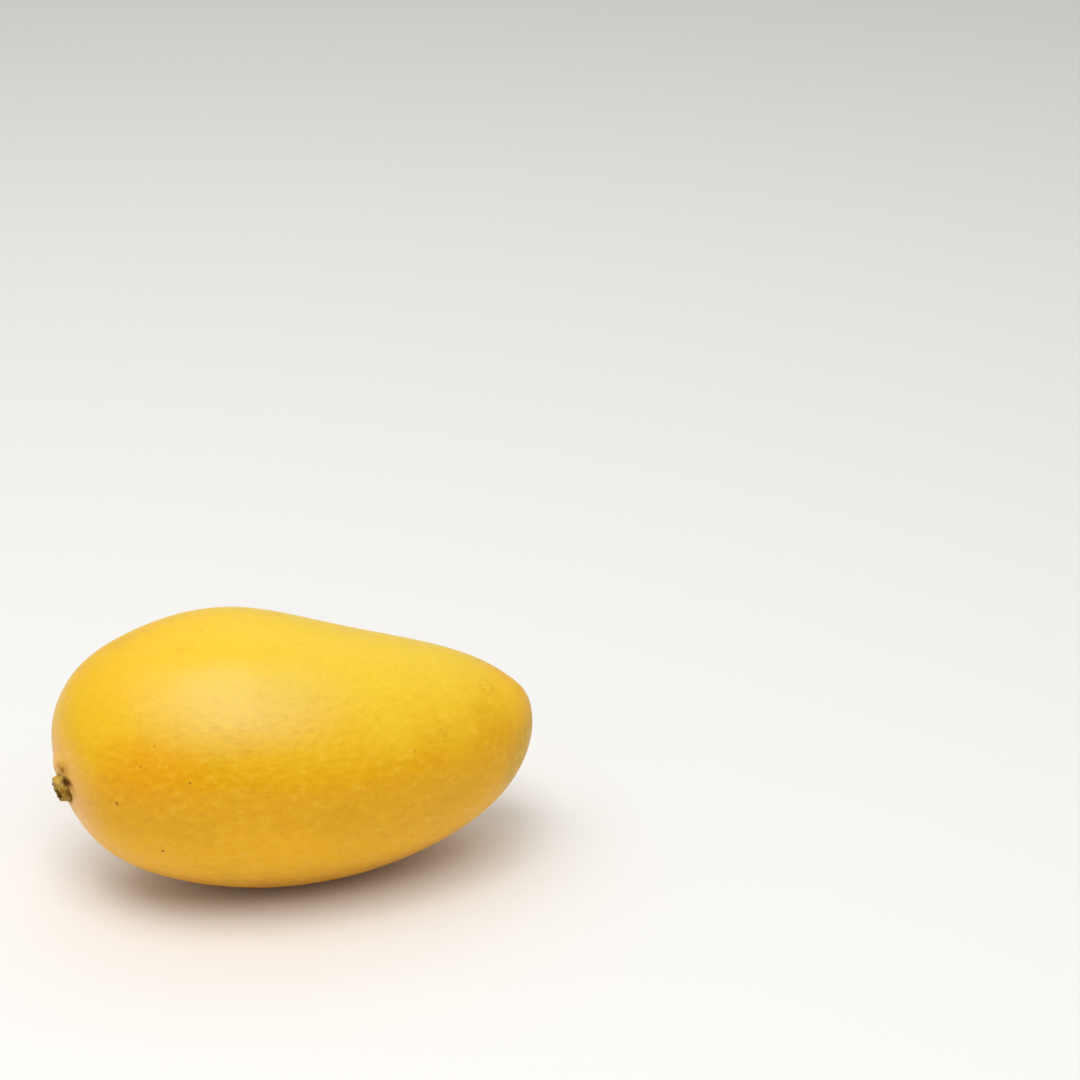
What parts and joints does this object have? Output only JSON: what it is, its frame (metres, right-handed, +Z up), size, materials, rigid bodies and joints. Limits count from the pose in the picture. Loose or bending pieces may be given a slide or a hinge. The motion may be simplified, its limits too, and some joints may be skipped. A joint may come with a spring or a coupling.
{
  "type": "mango",
  "caption": "Whole ripe yellow mango lying on its side, with a full back, a leaner front, a blunt tip and the short woody stub of its stalk.",
  "frame": {"origin": "bottom centre of the bounding box, on the surface that the fruit rests on", "axes": "+Z up, +X from the stem end to the blunt tip along the length, -Y towards the cheek that is shown"},
  "size_m": [0.1186, 0.0634, 0.0673],
  "materials": {
    "skin": "smooth waxy golden yellow skin with a soft sheen, pale fine dots and a few small dark specks",
    "stalk_wood": "dry rough olive-brown wood, ridged down the side, dark in the broken face"
  },
  "bodies": {
    "root": {"fruit": "skin", "stem_stub": "stalk_wood"}
  },
  "joints": []
}
